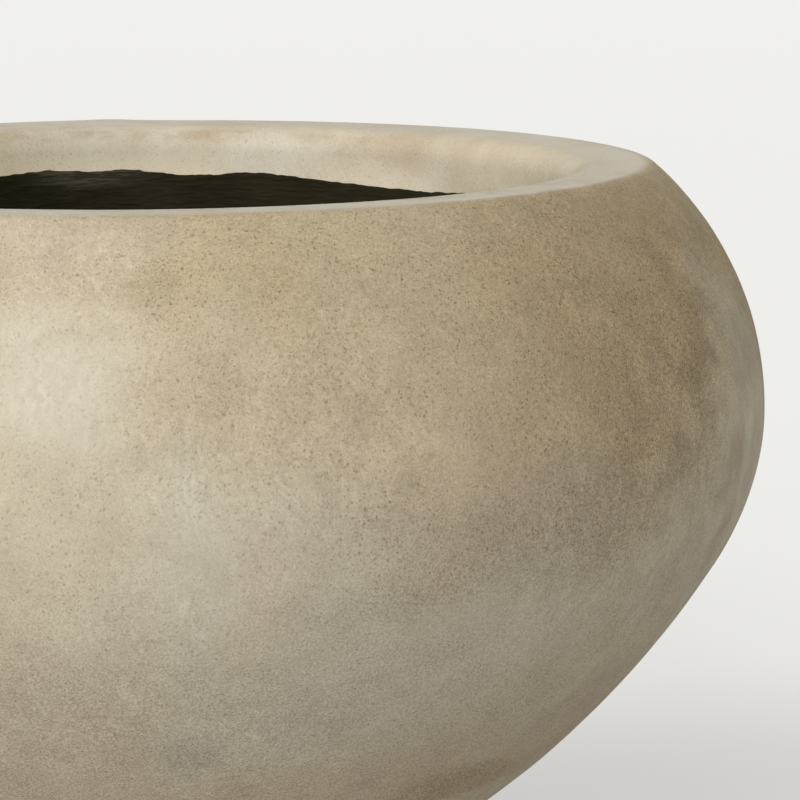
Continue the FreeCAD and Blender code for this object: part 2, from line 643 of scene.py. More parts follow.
class Effect:
    """A shared effect: a node group with one mask as its output."""

    def __init__(self, name: str, vectors: tuple[str, ...], numbers: tuple[str, ...] = ()) -> None:
        """Makes the empty group.

        Args:
            name: The group's name.
            vectors: The names of its vector inputs.
            numbers: The names of its number inputs.
        """
        self.group = bpy.data.node_groups.new(name, "ShaderNodeTree")
        kinds = dict.fromkeys(vectors, "NodeSocketVector") | dict.fromkeys(numbers, "NodeSocketFloat")
        for label, kind in kinds.items():
            self.group.interface.new_socket(label, in_out="INPUT", socket_type=kind)
        self.group.interface.new_socket("Mask", in_out="OUTPUT", socket_type="NodeSocketFloat")
        self.sheet = NodeSheet(self.group)
        self.given = self.sheet.add("NodeGroupInput").outputs

    def close(self, mask: Socket) -> NodeTree:
        """Puts the mask out and returns the finished group."""
        self.sheet.add("NodeGroupOutput", {"Mask": mask})
        return self.group


@cache
def soft_clouds() -> NodeTree:
    """Soft clouds: noise between two levels.

    Returns:
        The node group.
    """
    effect = Effect("soft_clouds", ("Vector",), ("Scale", "Detail", "Low", "High"))
    given = effect.given
    noise = effect.sheet.noise(given["Vector"], given["Scale"], given["Detail"])
    return effect.close(effect.sheet.step(noise, given["Low"], given["High"]))


@cache
def strewn_pores() -> NodeTree:
    """Pores: uneven dots strewn at random, larger and closer where a wider noise is high.

    Returns:
        The node group.
    """
    effect = Effect("strewn_pores", ("Vector",), ("Scale", "Gather", "Size"))
    sheet = effect.sheet
    given = effect.given
    spread = sheet.scaled(given["Vector"], given["Scale"])
    uneven = sheet.vectors("ADD", spread, sheet.scaled(sheet.wobble(spread, 2.3), 0.9))
    dots = sheet.add("ShaderNodeTexVoronoi", {"Vector": uneven, "Scale": 1.0}).outputs["Distance"]
    wide = sheet.noise(given["Vector"], given["Gather"], detail=4.0, rough=0.6)
    reach = sheet.times(sheet.step(wide, 0.3, 0.66, start=0.5, end=1.0), given["Size"])
    return effect.close(sheet.step(dots, sheet.times(reach, 0.35), reach, start=1.0, end=0.0))


@cache
def soft_patch() -> NodeTree:
    """A soft patch round a place: 1 in its middle, 0 at its reach.

    Returns:
        The node group.
    """
    inputs = ("Vector", "Location", "Rotation", "Scale")
    effect = Effect("soft_patch", inputs)
    sockets = {name: effect.given[name] for name in inputs}
    mapped = effect.sheet.add("ShaderNodeMapping", sockets, vector_type="TEXTURE").outputs["Vector"]
    ball = effect.sheet.add("ShaderNodeTexGradient", {"Vector": mapped}, gradient_type="SPHERICAL")
    return effect.close(effect.sheet.step(ball.outputs["Fac"], 0.0, 0.75))


@cache
def brush_streaks() -> NodeTree:
    """Brush marks: noise drawn out along one direction.

    Returns:
        The node group.
    """
    effect = Effect("brush_streaks", ("Vector", "Across"), ("Low", "High"))
    given = effect.given
    drawn = effect.sheet.vectors("MULTIPLY", given["Vector"], given["Across"])
    noise = effect.sheet.noise(drawn, 1.0, detail=3.0, rough=0.6)
    return effect.close(effect.sheet.step(noise, given["Low"], given["High"]))


class Finish:
    """A material that is being drawn: its node sheet, its shader, its coordinates and its tone so far."""

    def __init__(self, name: str, roughness: float, specular: float, tone: Value) -> None:
        """Makes the material with its plain shader.

        Args:
            name: The material's name.
            roughness: The shader's roughness, where no mask feeds it.
            specular: The shader's specular level.
            tone: The colour that others are laid over.
        """
        self.material = bpy.data.materials.new(name)
        self.material.use_nodes = True
        tree = self.material.node_tree
        self.shader = tree.nodes["Principled BSDF"]
        self.shader.inputs["Roughness"].default_value = roughness
        self.shader.inputs["Specular IOR Level"].default_value = specular
        self.sheet = NodeSheet(tree)
        self.places = self.sheet.add("ShaderNodeTexCoord").outputs["Object"]
        self.tone = tone

    def lay(self, over: Value, *amounts: Value, blend: Blend = Blend.OVER) -> None:
        """Lays a colour over the tone so far, as much as its amounts multiplied."""
        self.tone = self.sheet.lay(self.tone, over, self.sheet.times(*amounts), blend)

    def feed(self, socket: str, value: Socket) -> None:
        """Links a value to one of the shader's sockets."""
        self.sheet.tree.links.new(value, self.shader.inputs[socket])

    def close(self, height: Socket, depth: float) -> Material:
        """Feeds the shader's colour from the tone, and its normal from a height.

        Args:
            height: The height, from 0 to 1.
            depth: How deep that is.

        Returns:
            The finished material.
        """
        self.feed("Base Color", self.tone)
        bump = self.sheet.add("ShaderNodeBump", {"Height": height, "Distance": depth, "Strength": 1.0})
        self.feed("Normal", bump.outputs["Normal"])
        return self.material

    def mask(self, effect: NodeTree, **sockets: Value) -> Socket:
        """Places a shared effect, on the piece's own coordinates unless it is given another Vector."""
        sockets = {"Vector": self.places} | sockets
        return self.sheet.add("ShaderNodeGroup", sockets, node_tree=effect).outputs["Mask"]

    def along(self, axis: str) -> Socket:
        """The place along X, Y or Z."""
        return self.sheet.add("ShaderNodeSeparateXYZ", {"Vector": self.places}).outputs[axis]

    @cached_property
    def reach(self) -> Socket:
        """The distance from the pot's axis."""
        flat = self.sheet.vectors("MULTIPLY", self.places, (1.0, 1.0, 0.0))
        return self.sheet.add("ShaderNodeVectorMath", {0: flat}, operation="LENGTH").outputs["Value"]

    def below(self, height: float, first: float, last: float) -> Socket:
        """A step from 0 to 1 between two depths, in millimetres, below a height."""
        return self.sheet.step(self.along("Z"), height - first * MM, height - last * MM)

    def outside(self, radius: float, first: float, last: float) -> Socket:
        """A step from 0 to 1 between two distances, in millimetres, outside a radius."""
        return self.sheet.step(self.reach, radius + first * MM, radius + last * MM)


# Finishes


@dataclass(frozen=True)
class Patch:
    """A tone round one place on the pot.

    Its depth below an edge and its reaches are in millimetres, its azimuth and its lean in degrees.
    """

    azimuth: float
    depth: float
    width: float
    height: float
    colour: Colour
    amount: float = 1.0
    lean: float = 0.0

    def mask(self, finish: Finish, edge_z: float, radius: float, **sockets: Value) -> Value:
        """Draws the patch.

        Args:
            finish: The material.
            edge_z: The height of the edge.
            radius: The pot's radius at the patch.
            **sockets: Another Vector than the piece's own coordinates.

        Returns:
            How much of the patch is laid on.
        """
        through = max(self.width, self.height)
        mask = finish.mask(
            soft_patch(),
            Location=around(self.azimuth, radius, edge_z - self.depth * MM),
            Rotation=(0, math.radians(self.lean), math.radians(self.azimuth)),
            Scale=(self.width * MM, through * MM, self.height * MM),
            **sockets,
        )
        return finish.sheet.times(mask, self.amount)


@dataclass(frozen=True)
class StoneFinish:
    """Matt cast stone: sand with ochre, grey and rose clouds, strewn pores, brush marks, and a smooth lip
    top that is laid paler, partly as a painted highlight.

    The patches lie on the photographed side. On the far return lie pale patches of painted light, which
    lift its shade, and one darker stain. A tone sets in between a span's ends: levels of light, or
    millimetres below the lip or outside an edge.
    """

    section: PotSection
    sand: Colour = (0.55, 0.48, 0.36)
    ochre: Colour = (0.455, 0.367, 0.229)
    umber: Colour = (0.385, 0.30, 0.18)
    grey: Colour = (0.56, 0.52, 0.415)
    moss: Colour = (0.44, 0.41, 0.325)
    rose: Colour = (0.53, 0.435, 0.33)
    dusk: Colour = (0.42, 0.35, 0.27)
    cream: Colour = (0.61, 0.55, 0.43)
    warm: Colour = (0.555, 0.47, 0.34)
    lip: Colour = (0.605, 0.56, 0.46)
    pore: Colour = (0.62, 0.53, 0.41)
    patches: tuple[Patch, ...] = (
        Patch(16, 235, 230, 70, rose, 0.7),
        Patch(-6, 94, 72, 75, sand, 0.8),
        Patch(6, 13, 85, 40, ochre, 0.65),
        Patch(-7, 10, 55, 28, sand, 0.7),
        Patch(35, 108, 130, 72, ochre, 0.85),
        Patch(30, 119, 84, 40, dusk, 0.75),
        Patch(46, 32, 175, 85, umber),
        Patch(19, 174, 130, 54, grey, 0.85, -12),
        Patch(47, 154, 70, 56, cream, 0.6, 25),
        # Partly painted highlight: this cream patch is the pale stone at the left, together with the broad
        # sheen where the light strikes it.
        Patch(-9, 53, 48, 44, cream, 0.9),
        # Painted shade: this umber patch darkens the lower right flank, where the pot's own shade falls.
        Patch(36, 244, 55, 28, umber, 0.5),
        Patch(4, 200, 20, 26, moss, 0.7),
        Patch(65, 100, 54, 96, cream, 0.7),
        Patch(43, 102, 30, 36, umber, 0.3),
        Patch(35, 172, 75, 30, cream, 0.7, -16),
        Patch(15, 128, 44, 30, moss, 0.35),
        Patch(23, 30, 55, 60, ochre, 0.45),
        Patch(3, 140, 20, 80, grey, 0.6),
    )
    # Painted light: pale patches that lift the far return out of its shade, and one darker stain at 138
    # degrees.
    return_light_and_stain: tuple[Patch, ...] = (
        Patch(-173, 30, 190, 24, (0.76, 0.67, 0.50)),
        Patch(-154, 28, 75, 24, (0.82, 0.715, 0.52)),
        Patch(160, 18, 46, 24, (0.66, 0.60, 0.485)),
        Patch(108, 14, 75, 24, (0.61, 0.53, 0.395)),
        Patch(138, 10, 34, 24, (0.53, 0.44, 0.315)),
        Patch(142, 34, 60, 24, (0.68, 0.60, 0.46)),
    )
    blotches: Patch = Patch(54, 105, 130, 130, BLACK, 0.2)
    shoulder: Span = (125, 30)
    low_wall: Span = (90, 180)
    lip_top: Span = (11, 5)
    lip_outer: Span = (3.5, -2.5)
    lip_inner: Span = (2, 14)
    return_face: Span = (15, 3)
    line_lower: Span = (11, 6)
    line_upper: Span = (3, 5)
    line_reach: Place = (190 * MM, 150 * MM, 60 * MM)
    coarse_light: Span = (0.56, 0.34)
    mottle_light: Span = (0.56, 0.48)
    line_strength: float = 0.5
    cloud_strength: float = 0.5
    warm_strength: float = 0.85
    stroke_strength: float = 0.13
    lump_strength: float = 0.045
    pore_strength: float = 0.8
    low_coarseness: float = 0.75
    blotch_grit: float = 3.0
    grain_share: float = 0.3
    drift: float = 75 * MM
    roughness: float = 0.92
    specular: float = 0.2
    relief: float = 0.09 * MM

    def build(self) -> Material:
        """Draws the material.

        Returns:
            The material.
        """
        s = self.section
        finish = Finish("cast_stone", self.roughness, self.specular, self.sand)
        sheet = finish.sheet
        self.lay_clouds(finish)
        wander = sheet.scaled(sheet.wobble(finish.places, 11.0, detail=5.0, rough=0.6), self.drift)
        drifted = sheet.vectors("ADD", finish.places, wander)
        for patch in self.patches:
            finish.lay(patch.colour, self.on_wall(patch, finish, drifted))
        on_lip = sheet.times(
            finish.below(s.lip_z, *self.lip_top),
            finish.outside(s.lip_edge.r, *self.lip_outer),
            finish.outside(s.mouth_radius, *self.lip_inner),
        )
        # Partly painted highlight: the lip top is laid paler and greyer, for its smooth finish and for the
        # light on its upward face.
        rubbed_and_lit = finish.mask(soft_clouds(), Scale=38.0, Detail=5.0, Low=0.2, High=0.6)
        finish.lay(self.lip, on_lip, sheet.ramp(rubbed_and_lit, 0.0, 1.0, start=0.6, end=0.95))
        light = sheet.add("ShaderNodeRGBToBW", {"Color": finish.tone}).outputs["Val"]
        self.lay_return(finish)
        mottle = sheet.noise(finish.places, 48.0, detail=5.0, rough=0.62)
        finish.lay(mottle, sheet.ramp(light, *self.mottle_light, start=0.14, end=0.22), blend=Blend.TINT)
        blotched = self.on_wall(self.blotches, finish, drifted)
        blots = finish.mask(soft_clouds(), Scale=46.0, Detail=6.0, Low=0.25, High=0.75)
        finish.lay(blots, blotched, blend=Blend.TINT)
        across = (420.0, 420.0, 38.0)
        strokes = finish.mask(brush_streaks(), Vector=drifted, Across=across, Low=0.2, High=0.8)
        brushed = finish.mask(soft_clouds(), Scale=13.0, Detail=3.0, Low=0.42, High=0.62)
        finish.lay(strokes, brushed, self.stroke_strength, blend=Blend.TINT)
        low = finish.below(s.lip_z, *self.low_wall)
        outer, inner = (s.mouth_radius + edge * MM for edge in self.return_face)
        coarse = sheet.times(
            sheet.ramp(light, *self.coarse_light, start=0.25, end=1.35),
            sheet.step(on_lip, 0.0, 1.0, start=1.0, end=0.8),
            sheet.ramp(finish.reach, inner, outer, start=0.5, end=1.0),
        )
        coarse = sheet.sum("MAXIMUM", coarse, sheet.times(low, self.low_coarseness))
        gritty = sheet.sum("ADD", low, sheet.times(blotched, self.blotch_grit))
        return self.lay_grain(finish, coarse, gritty)

    def on_wall(self, patch: Patch, finish: Finish, drifted: Socket) -> Value:
        """The mask of a patch on the outside, with a drifted outline."""
        radius = self.section.outer_radius(self.section.lip_z - patch.depth * MM)
        return patch.mask(finish, self.section.lip_z, radius, Vector=drifted)

    def lay_clouds(self, finish: Finish) -> None:
        """Lays on the clouds that go all round the pot, with more ochre on the shoulder.

        Args:
            finish: The material.
        """
        for colour, scale in ((self.cream, 4.0), (self.grey, 6.0), (self.rose, 9.0)):
            clouds = finish.mask(soft_clouds(), Scale=scale, Detail=6.0, Low=0.44, High=0.68)
            finish.lay(colour, clouds, self.cloud_strength)
        gathered = finish.mask(soft_clouds(), Scale=7.0, Detail=6.0, Low=0.25, High=0.6)
        finish.lay(self.ochre, finish.below(self.section.lip_z, *self.shoulder), gathered)

    def lay_return(self, finish: Finish) -> None:
        """Lays on the return's paler, warmer tones, partly its own and partly painted light that lifts
        its shade, and the brown line just under the far rim.

        Args:
            finish: The material.
        """
        lip_z, mouth = self.section.lip_z, self.section.mouth_radius
        returned = finish.outside(mouth, *self.return_face)
        upright = finish.sheet.vectors("MULTIPLY", finish.places, (1.0, 1.0, 0.35))
        paler = finish.mask(soft_clouds(), Vector=upright, Scale=15.0, Detail=6.0, Low=0.34, High=0.62)
        # Partly painted light: the return is laid warmer and paler, for its own tone and to lift the shade
        # that it gets.
        finish.lay(self.warm, returned, self.warm_strength)
        finish.lay(self.cream, returned, paler)
        # Painted light: the pale patches lift the far return's shade; the darker patch at 138 degrees is a
        # stain.
        for return_patch in self.return_light_and_stain:
            finish.lay(return_patch.colour, returned, return_patch.mask(finish, lip_z, mouth))
        above = finish.below(lip_z, *self.line_lower)
        below = finish.below(lip_z, *self.line_upper)
        far = finish.mask(soft_patch(), Location=(0, mouth, lip_z), Scale=self.line_reach)
        broken = finish.mask(soft_clouds(), Scale=60.0, Detail=4.0, Low=0.42, High=0.62)
        finish.lay(self.umber, above, below, far, broken, self.line_strength)

    def lay_grain(self, finish: Finish, coarse: Socket, gritty: Socket) -> Material:
        """Lays on the grain and the pores, which also make the relief.

        Args:
            finish: The material.
            coarse: How strong they are.
            gritty: How much fine grit is among them.

        Returns:
            The finished material.
        """
        sheet = finish.sheet
        grain = finish.mask(soft_clouds(), Scale=1250.0, Detail=2.0, Low=0.28, High=0.72)
        finish.lay(grain, coarse, sheet.ramp(gritty, 0.0, 1.0, start=0.13, end=0.28), blend=Blend.TINT)
        lumps = finish.mask(soft_clouds(), Scale=400.0, Detail=3.0, Low=0.28, High=0.72)
        finish.lay(lumps, coarse, self.lump_strength, blend=Blend.TINT)
        wide_pores = finish.mask(strewn_pores(), Scale=430.0, Gather=45.0, Size=0.32)
        fine_pores = finish.mask(strewn_pores(), Scale=720.0, Gather=80.0, Size=0.36)
        grit = finish.mask(strewn_pores(), Scale=900.0, Gather=110.0, Size=0.5)
        grit = sheet.times(grit, sheet.ramp(gritty, 0.0, 1.0))
        pores = sheet.sum("MAXIMUM", sheet.sum("MAXIMUM", wide_pores, fine_pores), grit)
        finish.lay(self.pore, pores, coarse, self.pore_strength, blend=Blend.DARKEN)
        height = sheet.sum("SUBTRACT", sheet.times(grain, self.grain_share), wide_pores)
        return finish.close(height, self.relief)


@dataclass(frozen=True)
class CoatFinish:
    """The brushed sealing coat: dull and dark, with streaks, and soil's dust below the return."""

    section: PotSection
    lap_top: float
    dark: Colour = (0.017, 0.0135, 0.0055)
    worn: Colour = (0.03, 0.025, 0.013)
    soil: Colour = (0.10, 0.085, 0.055)
    thin: Patch = Patch(-170, 0, 44, 11, (0.07, 0.062, 0.04))
    soil_span: Span = (0, 25)
    dust_strength: float = 0.6
    streak_strength: float = 0.35
    streak_depth: float = 0.4 * MM
    roughness: float = 0.92
    specular: float = 0.08

    def build(self) -> Material:
        """Draws the material.

        Returns:
            The material.
        """
        finish = Finish("brushed_coat", self.roughness, self.specular, self.dark)
        dust = finish.mask(soft_clouds(), Scale=30.0, Detail=5.0, Low=0.42, High=0.75)
        streaks = finish.mask(brush_streaks(), Across=(90.0, 90.0, 500.0), Low=0.35, High=0.7)
        finish.lay(self.worn, dust, self.dust_strength)
        finish.lay(self.worn, streaks, self.streak_strength)
        left_by = finish.mask(soft_clouds(), Scale=18.0, Detail=6.0, Low=0.2, High=0.6)
        finish.lay(self.soil, finish.below(self.section.return_end_z, *self.soil_span), left_by)
        scraped = self.thin.mask(finish, self.lap_top, self.section.mouth_radius)
        finish.lay(self.thin.colour, scraped, finish.sheet.step(streaks, 0.0, 0.7, start=0.35, end=1.0))
        return finish.close(streaks, self.streak_depth)


@dataclass(frozen=True)
class CementFinish:
    """Rough grey cement with glass fibres in it."""

    grey: Colour = (0.42, 0.41, 0.38)
    pale: Colour = (0.55, 0.54, 0.50)
    cloud_strength: float = 0.5
    roughness: float = 0.95
    specular: float = 0.2
    depth: float = 0.6 * MM

    def build(self) -> Material:
        """Draws the material.

        Returns:
            The material.
        """
        finish = Finish("fibre_cement", self.roughness, self.specular, self.grey)
        clouds = finish.mask(soft_clouds(), Scale=25.0, Detail=6.0, Low=0.35, High=0.7)
        fibres = finish.mask(brush_streaks(), Across=(60.0, 700.0, 700.0), Low=0.62, High=0.72)
        finish.lay(self.pale, clouds, self.cloud_strength)
        finish.lay(self.pale, fibres)
        return finish.close(finish.sheet.sum("ADD", clouds, fibres), self.depth)


@dataclass(frozen=True)
class MouldedFinish:
    """Moulded plastic or rubber: a fine grain, and dust from the soil."""

    name: str
    colour: Colour
    dust: Colour
    roughness: float
    grain: float
    smoother: float = 0.08
    rougher: float = 0.1
    specular: float = 0.4
    depth: float = 0.08 * MM

    def build(self) -> Material:
        """Draws the material.

        Returns:
            The material.
        """
        finish = Finish(self.name, self.roughness, self.specular, self.colour)
        finish.lay(self.dust, finish.mask(soft_clouds(), Scale=160.0, Detail=5.0, Low=0.45, High=0.8))
        grain = finish.sheet.noise(finish.places, self.grain)
        low, high = self.roughness - self.smoother, self.roughness + self.rougher
        finish.feed("Roughness", finish.sheet.step(grain, 0.2, 0.8, start=low, end=high))
        return finish.close(grain, self.depth)


# The pot's pieces


def dress(obj: Object, material: Material) -> Object:
    """Gives a piece its finish in place of any other.

    Args:
        obj: The piece.
        material: The finish.

    Returns:
        The piece.
    """
    obj.data.materials.clear()
    obj.data.materials.append(material)
    return obj


@dataclass
class StoneShell:
    """The stone face, drawn, turned and then worked as by hand."""

    section: PotSection
    drain_radius: float = 16.05 * MM
    facets: int = 432
    spacing: float = 4.5 * MM
    hidden_spacing: float = 22 * MM
    plain_base: float = 30 * MM
    plain_return: float = 14 * MM
    lip_care: float = 0.65
    strip_gap: float = 0.004
    hidden_strip: float = 0.06
    hidden_fill: float = 0.9
    waves: tuple[Unevenness, ...] = (
        Unevenness("casting_waves", 150 * MM, 1.1 * MM, level=1.0),
        Unevenness("hand_waves", 46 * MM, 0.45 * MM, octaves=2, level=1.0),
        Unevenness("trowel_marks", 13 * MM, 0.08 * MM, level=1.0),
    )
    swells: tuple[Swell, ...] = (Swell(-168, 0.5 * MM, 62 * MM), Swell(-175, 0.5 * MM, 22 * MM))

    def build(self) -> Object:
        """Models, dresses and seats the stone face.

        Returns:
            The piece.
        """
        shell = self.turned()
        self.work(shell)
        self.unroll(shell)
        dress(shell, StoneFinish(self.section).build())
        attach(shell, Body.POT.value)
        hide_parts("stone_face")
        return shell

    def turned(self) -> Object:
        """Draws the face's closed section and turns it.

        Returns:
            The turned shell.
        """
        s = self.section
        base_touch = s.flank.towards(s.base_edge)
        flank_touch = s.flank.towards(s.belly)
        lip_touch = s.shoulder.towards(s.lip_edge)
        lip_top = HALF_PI + s.lip_slope
        arcs = [
            (s.base_edge, -HALF_PI, base_touch),
            (s.flank, base_touch, flank_touch),
            (s.belly, flank_touch, 0.0),
            (s.shoulder, 0.0, lip_touch),
            (s.lip_edge, lip_touch, lip_top),
            (s.mouth_edge, lip_top, math.pi),
        ]
        drain = Vector((self.drain_radius, 0, s.underside_z))
        return_end = Vector((s.mouth_radius, 0, s.return_end_z))
        pen = SectionPen("stone_shell", drain, self.spacing)
        for circle, start, end in arcs:
            if circle == s.lip_edge:
                self.lip_run = pen.drawn
            pen.sweep(circle, start, end)
        pen.run(return_end)
        self.outer_run = pen.drawn
        pen.spacing = self.hidden_spacing
        pen.run(return_end + Vector((s.face_thickness, 0, 0)))
        for circle, start, end in reversed(arcs):
            pen.sweep(circle, end, start, s.face_thickness)
        pen.run(drain + Vector((0, 0, s.face_thickness)))
        pen.run(drain)
        self.whole_run = pen.drawn
        return pen.turn(self.facets)

    def work(self, shell: Object) -> None:
        """Leaves the waves of casting and hand finishing, always within the turned form, and the swells.

        Args:
            shell: The turned shell.
        """
        run = vertex_runs(shell)
        flat = self.section.base_edge.r - self.drain_radius
        weights = fade(run, flat, flat + self.plain_base)
        weights *= fade(run, self.outer_run, self.outer_run - self.plain_return)
        weights *= 1 - self.lip_care * fade(run, self.lip_run - self.plain_base, self.lip_run)
        weights[run > self.outer_run] = 0
        weigh(shell, "worked", weights)
        for waves in self.waves:
            waves.work_into(shell, "worked")
        for swell in self.swells:
            swell.work_into(shell, self.section.lip_edge.r, self.section.lip_z)

    def unroll(self, shell: Object) -> None:
        """Lays the shell out flat: two half turns of the outside, and the hidden side in a strip.

        Args:
            shell: The worked shell.
        """
        corners = read(shell.data.loops, "vertex_index", int).reshape(-1, 4)
        places = vertex_places(shell)
        turn = (np.arctan2(places[:, 0], -places[:, 1]) / (2 * math.pi) + 0.25) % 1.0
        turn = turn[corners]
        turn = np.where(before_seam(turn, 0.5), turn + 1.0, turn)
        run = vertex_runs(shell)[corners]
        run = np.where(before_seam(run, self.outer_run / 2), self.whole_run, run)
        second = turn.mean(axis=1)[:, None] > 0.5
        hidden = run.mean(axis=1)[:, None] > self.outer_run
        across = (turn - 0.5 * second) * 2
        strip = (1 - self.hidden_strip) / 2
        shown_up = strip * (second + run / self.outer_run * (1 - self.strip_gap))
        share = (run - self.outer_run) / (self.whole_run - self.outer_run)
        hidden_up = 1 - self.hidden_strip / 2 * (1 + second - share * self.hidden_fill)
        up = np.where(hidden, hidden_up, shown_up)
        layer = shell.data.uv_layers.new(name="OFBake")
        flat = np.stack([self.strip_gap + across * (1 - 2 * self.strip_gap), up], axis=-1)
        layer.data.foreach_set("uv", flat.reshape(-1))


@dataclass(frozen=True)
class Stroke:
    """A stretch of the coat's edge that the brush took higher or lower."""

    azimuth: float
    rise: float
    reach: float

    def profile(self, azimuths: np.ndarray) -> np.ndarray:
        """How far the edge is raised at each azimuth."""
        off = (azimuths - self.azimuth + 180) % 360 - 180
        return self.rise * np.exp(-((off / self.reach) ** 2))


@dataclass
class SealingCoat:
    """The coat on the inside: drawn, turned, and lapped up the return with higher and lower strokes."""

    section: PotSection
    lap_top: float
    flange_radius: float
    thickness: float = 1.6 * MM
    bond: float = 0.05 * MM
    edge_thickness: float = 0.5 * MM
    facets: int = 480
    spacing: float = 7 * MM
    lap_spacing: float = 1.2 * MM
    lap_soft: float = 15 * MM
    lap_drop: float = 0.9 * MM
    hidden_spacing: float = 24 * MM
    plain_floor: Span = (10 * MM, 50 * MM)
    strokes: tuple[Stroke, ...] = (
        Stroke(-163.5, 2.6 * MM, 7),
        Stroke(-176.5, 2.4 * MM, 5),
        Stroke(171, -0.4 * MM, 6),
        Stroke(163, 1.2 * MM, 5),
        Stroke(150, -1.4 * MM, 9),
        Stroke(132, -4.3 * MM, 16),
    )
    lumps: Unevenness = Unevenness("coat_lumps", 24 * MM, 0.8 * MM, octaves=2)
    edge_waves: tuple[Unevenness, ...] = (
        Unevenness("edge_waves", 30 * MM, 1.2 * MM, direction=Direction.UP),
        Unevenness("edge_bristles", 5 * MM, 1.7 * MM, octaves=2, direction=Direction.UP),
    )

    def build(self) -> Object:
        """Models, dresses and seats the coat.

        Returns:
            The piece.
        """
        coat = self.turned()
        self.brush(coat)
        dress(coat, CoatFinish(self.section, self.lap_top).build())
        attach(coat, Body.POT.value)
        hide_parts("inner_coat")
        return coat

    def turned(self) -> Object:
        """Draws the coat's closed section and turns it.

        Returns:
            The turned coat.
        """
        s = self.section
        free = self.bond + self.thickness
        flank, belly, shoulder = s.inner(s.flank), s.inner(s.belly), s.inner(s.shoulder)
        arcs = [
            (s.floor_corner, -HALF_PI, flank.towards(s.floor_corner)),
            (flank, flank.towards(s.floor_corner), flank.towards(belly)),
            (belly, flank.towards(belly), 0.0),
            (shoulder, 0.0, shoulder.towards(s.ledge_corner)),
            (s.ledge_corner, shoulder.towards(s.ledge_corner), HALF_PI),
        ]
        turn = Circle(s.mouth_radius, s.return_end_z, free)
        lapped = s.mouth_radius - self.bond
        start = Vector((self.flange_radius + self.bond, 0, s.floor_z + self.bond))
        pen = SectionPen("sealing_coat", start, self.spacing)
        pen.run(start + Vector((0, 0, self.thickness)))
        for circle, first, last in arcs:
            pen.sweep(circle, first, last, free)
        pen.spacing = self.lap_spacing
        pen.sweep(turn, 3 * HALF_PI, math.pi)
        self.lap_run = pen.drawn
        pen.run(Vector((lapped - self.edge_thickness, 0, self.lap_top)))
        pen.run(Vector((lapped, 0, self.lap_top)))
        pen.run(Vector((lapped, 0, s.return_end_z - self.bond)))
        self.free_run = pen.drawn
        pen.spacing = self.hidden_spacing
        for circle, first, last in reversed(arcs):
            pen.sweep(circle, last, first, self.bond)
        pen.run(start)
        return pen.turn(self.facets)

    def brush(self, coat: Object) -> None:
        """Makes the coat lumpy, and its upper edge as wavy and ragged as a brush leaves it.

        Args:
            coat: The turned coat.
        """
        run = vertex_runs(coat)
        places = vertex_places(coat)
        lapped = (run > self.lap_run) & (run < self.free_run)
        climb = np.where(lapped, fade(places[:, 2], self.lap_top - self.lap_soft, self.lap_top), 0)
        weigh(coat, "lap", climb)
        weigh(coat, "free", np.where(run < self.lap_run, fade(run, *self.plain_floor), 0))
        azimuth = np.degrees(np.arctan2(places[:, 0], -places[:, 1]))
        rise = climb * (sum(stroke.profile(azimuth) for stroke in self.strokes) - self.lap_drop)
        span = np.abs(rise).max()
        weigh(coat, "higher", np.clip(rise, 0, None) / span)
        weigh(coat, "lower", np.clip(-rise, 0, None) / span)
        self.lumps.work_into(coat, "free")
        for waves in self.edge_waves:
            waves.work_into(coat, "lap")
        shift(coat, "higher", span)
        shift(coat, "lower", -span)


@dataclass
class Backing:
    """The cement behind the face, in the shape of the CAD model."""

    cement: CementFinish = CementFinish()

    def dress(self) -> list[Object]:
        """Gives the backing its finish and returns it."""
        return [dress(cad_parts["fibre_backing"], self.cement.build())]


@dataclass
class Drain:
    """The sleeve in the floor and the stopper in it, in the shapes of the CAD model."""

    sleeve: MouldedFinish = MouldedFinish(
        "drain_plastic", (0.05, 0.05, 0.05), (0.10, 0.09, 0.075), roughness=0.45, grain=900.0
    )
    stopper: MouldedFinish = MouldedFinish(
        "stopper_rubber", (0.03, 0.03, 0.03), (0.075, 0.07, 0.06), roughness=0.75, grain=1500.0
    )

    def dress(self) -> list[Object]:
        """Gives both their finishes and returns them."""
        finishes = {"drain_sleeve": self.sleeve, "drain_stopper": self.stopper}
        return [dress(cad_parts[name], finish.build()) for name, finish in finishes.items()]


@dataclass
class FootPads:
    """The rubber pads under the base, in the shape of the CAD model."""

    rubber: MouldedFinish = MouldedFinish(
        "pad_rubber", (0.04, 0.04, 0.04), (0.09, 0.085, 0.075), roughness=0.85, grain=1200.0
    )

    def dress(self) -> list[Object]:
        """Gives every pad the same finish and returns them."""
        rubber = self.rubber.build()
        return [dress(node, rubber) for name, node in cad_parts.items() if name.startswith("foot_pad_")]


@dataclass(frozen=True)
class SoftSun:
    """A broad, soft light from one direction."""

    name: str
    azimuth: float
    elevation: float
    strength: float
    softness: float

    def shine(self) -> None:
        """Adds the light."""
        bpy.ops.object.light_add(type="SUN")
        lamp = bpy.context.object
        lamp.name = self.name
        lamp.data.energy = self.strength
        lamp.data.angle = math.radians(self.softness)
        lamp.rotation_euler = (math.radians(90 - self.elevation), 0, math.radians(self.azimuth))


